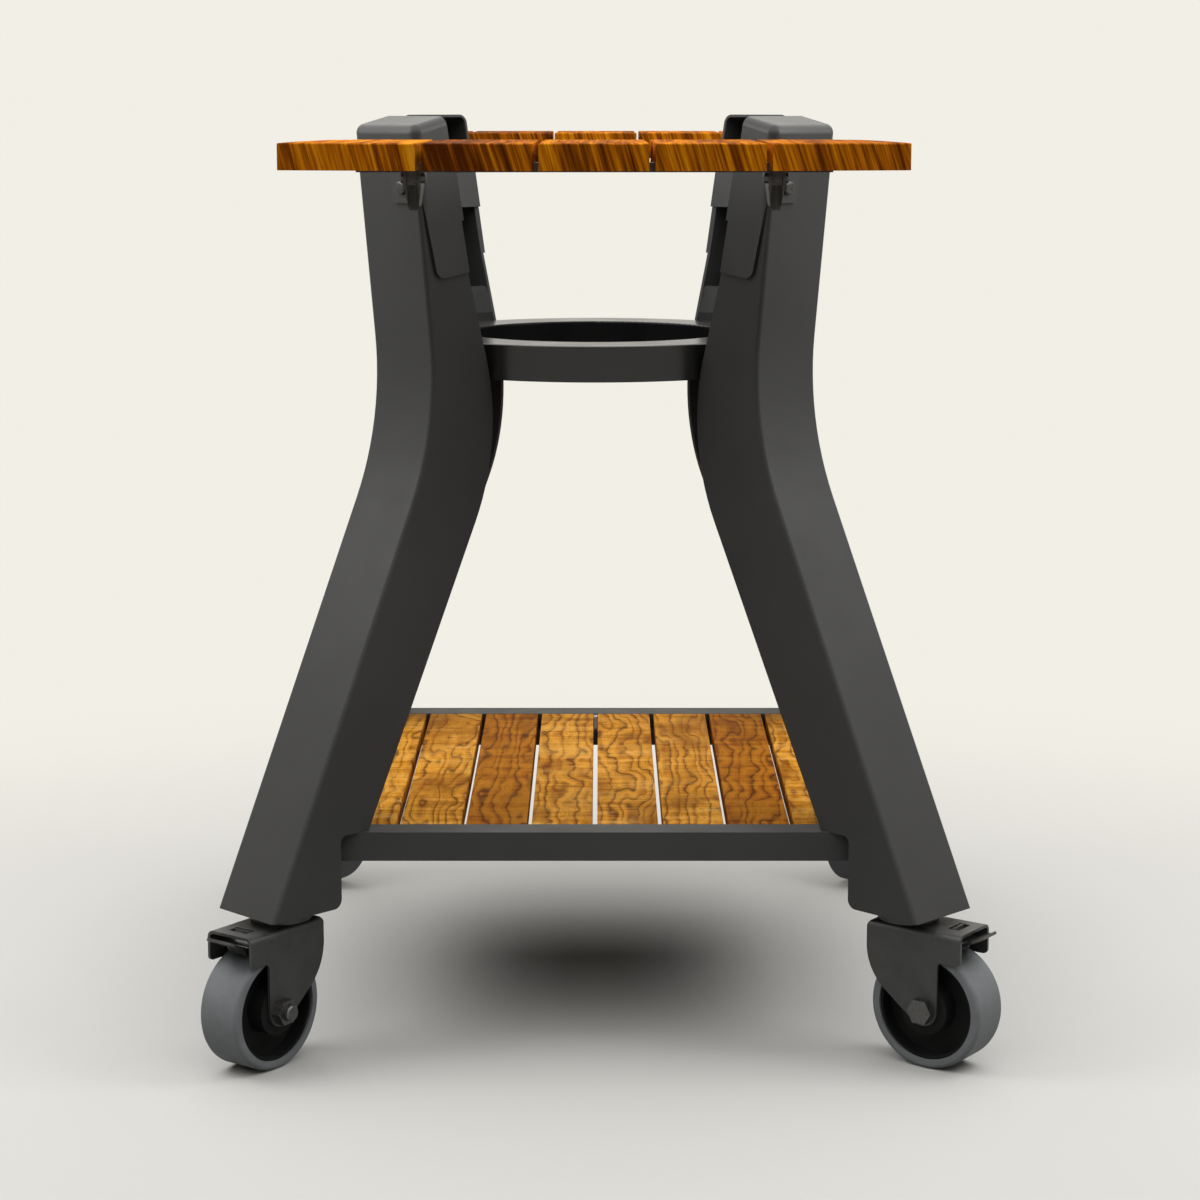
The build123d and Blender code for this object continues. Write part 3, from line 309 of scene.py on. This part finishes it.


# Side shelves: five boards of oiled orange-brown hardwood on a brushed steel frame, screwed from below; the
# frame's sheet is painted lighter, as painted light for the shade under the boards.
# The figure is straight and strongly streaked, and every board is cut from another place.
def streaked_wood(name, cut, lean, shade):
    """Streaks are noise drawn out along the board and up its end, leaning by some degrees from upright.
    Cut is the place in the log, and shade makes the board lighter or darker."""
    wood = Finish(name)

    def drawn_out(along, up):
        return wood.place(at=(cut, 0, 0), turn=(0.0, radians(lean), 0.0), size=(1, along, up))

    broad = wood.noise(drawn_out(26, 18), scale=105.0)
    fine = wood.noise(drawn_out(40, 30), scale=460.0, detail=3.0, roughness=0.55)
    slow = wood.noise(drawn_out(9, 9), scale=20.0, detail=1.0)
    pores = wood.noise(drawn_out(14, 10), scale=900.0)
    drift = wood.calc("MULTIPLY", wood.calc("SUBTRACT", slow, 0.5), 0.36)
    tone = wood.calc("ADD", wood.calc("ADD", wood.total((broad, 0.40), (fine, 0.60)), drift), shade)
    colour = wood.ramp(tone, (0.32, (0.085, 0.018, 0.0004)), (0.42, (0.24, 0.058, 0.0007)),
                       (0.50, (0.46, 0.128, 0.0012)), (0.58, (0.66, 0.212, 0.0026)),
                       (0.68, (0.82, 0.330, 0.010)))
    return wood.surface(
        colour=wood.blend(wood.spread(pores, 0.6, 0.75, 0.0, 0.3), colour, (0.06, 0.012, 0.001)),
        rough=wood.spread(fine, 0.3, 0.7, 0.66, 0.80),
        shine=0.03,
        normal=wood.bump(wood.calc("ADD", fine, pores), 0.00010),
    )


board_looks = ((0.31, -15.0, 0.025), (1.17, -18.0, -0.10), (2.43, -16.0, -0.03), (3.08, -17.0, -0.035),
               (4.71, -18.0, -0.01))
for shelf, log in (("front", 0.0), ("rear", 7.3)):
    for number, (cut, lean, shade) in enumerate(board_looks, 1):
        board = f"{shelf}_shelf_plank_{number}"
        clad([board], streaked_wood(f"{board}_wood", cut + log, lean, shade))
    # Painted light: the frame takes the brackets' lightened brushed sheet.
    clad([f"{shelf}_shelf_frame"], brushed_sheet_painted_light)
    clad([f"{shelf}_shelf_screws"], zinc_plate)


# Casters: pressed steel forks that swivel on a plate set in each foot, with a bolt axle and a foot brake.
# The wheel is a grey soft-rubber tyre moulded on a black plastic core.
def pressed_steel(name, dark, light, rough=(0.36, 0.48)):
    """Dark plated sheet: cloudy tone, drawing marks up the sides and a satin gloss."""
    sheet = Finish(name)
    cloud = sheet.noise(sheet.place(), scale=60.0, detail=3.0, roughness=0.55)
    marks = sheet.noise(sheet.place(size=(1, 1, 14)), scale=900.0)
    return sheet.surface(
        colour=sheet.ramp(cloud, (0.3, dark), (0.7, light)),
        metal=0.35,
        rough=sheet.spread(cloud, 0.3, 0.7, *rough),
        normal=sheet.bump(marks, 0.00002),
    )


fork_steel = pressed_steel("fork_dark_steel", (0.040, 0.040, 0.039), (0.056, 0.056, 0.054))
pedal_steel = pressed_steel("pedal_worn_steel", (0.046, 0.046, 0.045), (0.066, 0.066, 0.064),
                            rough=(0.20, 0.30))
axle_steel = plated_steel("axle_dark_zinc", (0.075, 0.075, 0.074), (0.12, 0.12, 0.118), rough=(0.36, 0.48))
clad(["caster_plates"], fork_steel)
clad([f"caster_fork_{corner}" for corner in corners], fork_steel)
clad([f"caster_axle_{corner}" for corner in corners], axle_steel)
clad([f"brake_pedal_{corner}" for corner in corners], pedal_steel)


def moulding(name, dark, light, shine=0.35):
    """Moulded rubber or plastic: an even tone with a slow bloom and a fine matt skin."""
    skin = Finish(name)
    spot = skin.place()
    bloom = skin.noise(spot, scale=40.0, detail=3.0, roughness=0.6)
    pimples = skin.noise(spot, scale=1500.0)
    return skin.surface(
        colour=skin.ramp(bloom, (0.3, dark), (0.7, light)),
        rough=skin.spread(bloom, 0.3, 0.7, 0.58, 0.70),
        shine=shine,
        normal=skin.bump(pimples, 0.00004),
    )


tread_rubber = moulding("tread_grey_rubber", (0.158, 0.167, 0.173), (0.200, 0.211, 0.219))
core_plastic = moulding("core_black_plastic", (0.006, 0.006, 0.006), (0.011, 0.011, 0.011), shine=0.12)
clad([f"wheel_tyre_{corner}" for corner in corners], tread_rubber)
clad([f"wheel_core_{corner}" for corner in corners], core_plastic)


# Studio: one pale cream paper floor that runs into a backdrop of the same cream, under a wide overhead light.
# Two weak side lights close to the stand model the outer faces of the legs.
# Floor and backdrop throw little light of their own, so that the shadow under the stand stays deep.
cream = (0.888, 0.863, 0.791)
paper_seen, paper_unseen = (0.615, 0.609, 0.584), (0.24, 0.24, 0.235)
level_seen, level_unseen = 1.0, 0.06
paper_middle, paper_end, backdrop_start = (0.0, -0.4, 0.0), 0.4, 1.7


def round_floor(radius, rings, spokes):
    """A flat round floor: ring radius grows with the square of its number, spokes are evenly spaced."""
    reach = radius * (np.arange(1, rings + 1) / rings) ** 2
    angle = np.arange(spokes) * 2 * np.pi / spokes
    x = np.outer(reach, np.cos(angle)).ravel()
    y = np.outer(reach, np.sin(angle)).ravel()
    points = np.column_stack([x, y, np.zeros_like(x)])
    points = np.vstack([[[0.0, 0.0, 0.0]], points])
    ring, spoke = np.meshgrid(np.arange(rings - 1), np.arange(spokes), indexing="ij")
    following = (spoke + 1) % spokes
    quads = np.stack([ring * spokes + spoke, (ring + 1) * spokes + spoke,
                      (ring + 1) * spokes + following, ring * spokes + following], axis=-1) + 1
    spoke = np.arange(spokes)
    fan = np.stack([np.zeros_like(spoke), spoke + 1, (spoke + 1) % spokes + 1], axis=-1)
    mesh = bpy.data.meshes.new("studio_floor")
    mesh.from_pydata(points.tolist(), [], fan.tolist() + quads.reshape(-1, 4).tolist())
    mesh.shade_smooth()
    floor = bpy.data.objects.new("studio_floor", mesh)
    bpy.context.scene.collection.objects.link(floor)
    return floor


def seen_rays(nodes):
    """1 for rays that show the background to the camera, directly or in a gloss, and 0 for rays that
    light other things."""
    path = nodes.add("ShaderNodeLightPath", {}).outputs
    return nodes.calc("MAXIMUM", path["Is Camera Ray"],
                      nodes.calc("MAXIMUM", path["Is Glossy Ray"], path["Is Transmission Ray"]))


floor = round_floor(radius=6.0, rings=24, spokes=96)
paper = Finish("studio_paper")
seen = seen_rays(paper)
fibres = paper.noise(paper.place(), scale=900.0)
paper.surface(colour=paper.blend(seen, paper_unseen, paper_seen), rough=0.9, shine=0.1,
              normal=paper.bump(fibres, 0.00002))
away = paper.length(paper.place(at=paper_middle))
glow = paper.add("ShaderNodeEmission", {
    "Color": (*cream, 1.0),
    "Strength": paper.spread(seen, 0.0, 1.0, level_unseen, level_seen),
})
joined = paper.add("ShaderNodeMixShader", {
    0: paper.spread(away, paper_end, backdrop_start, 0.0, 1.0, soft=True),
    1: paper.shader.outputs["BSDF"],
    2: glow.outputs["Emission"],
})
paper.feed(paper.tree.nodes["Material Output"].inputs["Surface"], joined.outputs["Shader"])
floor.data.materials.append(paper.material)

world = bpy.data.worlds.new("studio_air")
bpy.context.scene.world = world
world.use_nodes = True
air = Nodes(world.node_tree)
backdrop = air.tree.nodes["Background"].inputs
air.feed(backdrop["Color"], (*cream, 1.0))
air.feed(backdrop["Strength"], air.spread(seen_rays(air), 0.0, 1.0, level_unseen, level_seen))


def softbox(name, place, aim, width, depth, power):
    """A flat area light at a place, turned to face a point."""
    lamp = bpy.data.lights.new(name, "AREA")
    lamp.shape = "RECTANGLE"
    lamp.size = width
    lamp.size_y = depth
    lamp.energy = power
    box = bpy.data.objects.new(name, lamp)
    bpy.context.scene.collection.objects.link(box)
    box.location = place
    way = type(box.location)(aim) - box.location
    box.rotation_euler = way.to_track_quat("-Z", "Y").to_euler()
    box.visible_camera = False


softbox("overhead_softbox", place=(0.0, -0.3, 2.6), aim=(0.0, -0.3, 0.0), width=5.8, depth=8.0, power=208.0)
softbox("left_softbox", place=(-0.95, -0.3, 1.05), aim=(-0.1, -0.1, 0.5), width=0.6, depth=0.6, power=5.0)
softbox("right_softbox", place=(0.95, -0.3, 1.05), aim=(0.1, -0.1, 0.5), width=0.6, depth=0.6, power=5.0)


# Camera: an 85 mm lens on a 36 mm frame, a little above the shelf tops and 2.6 m in front of the middle.
# It is tipped down ten degrees, as in the photograph.
tip_down = 9.93
lens = bpy.data.cameras.new("camera")
lens.lens = 85.0
lens.sensor_width = 36.0
camera = bpy.data.objects.new("camera", lens)
bpy.context.scene.collection.objects.link(camera)
camera.location = (0.0044, -2.593, 0.8035)
camera.rotation_euler = (radians(90.0 - tip_down), 0.0, 0.0)
bpy.context.scene.camera = camera
bpy.context.scene.view_settings.view_transform = "Standard"
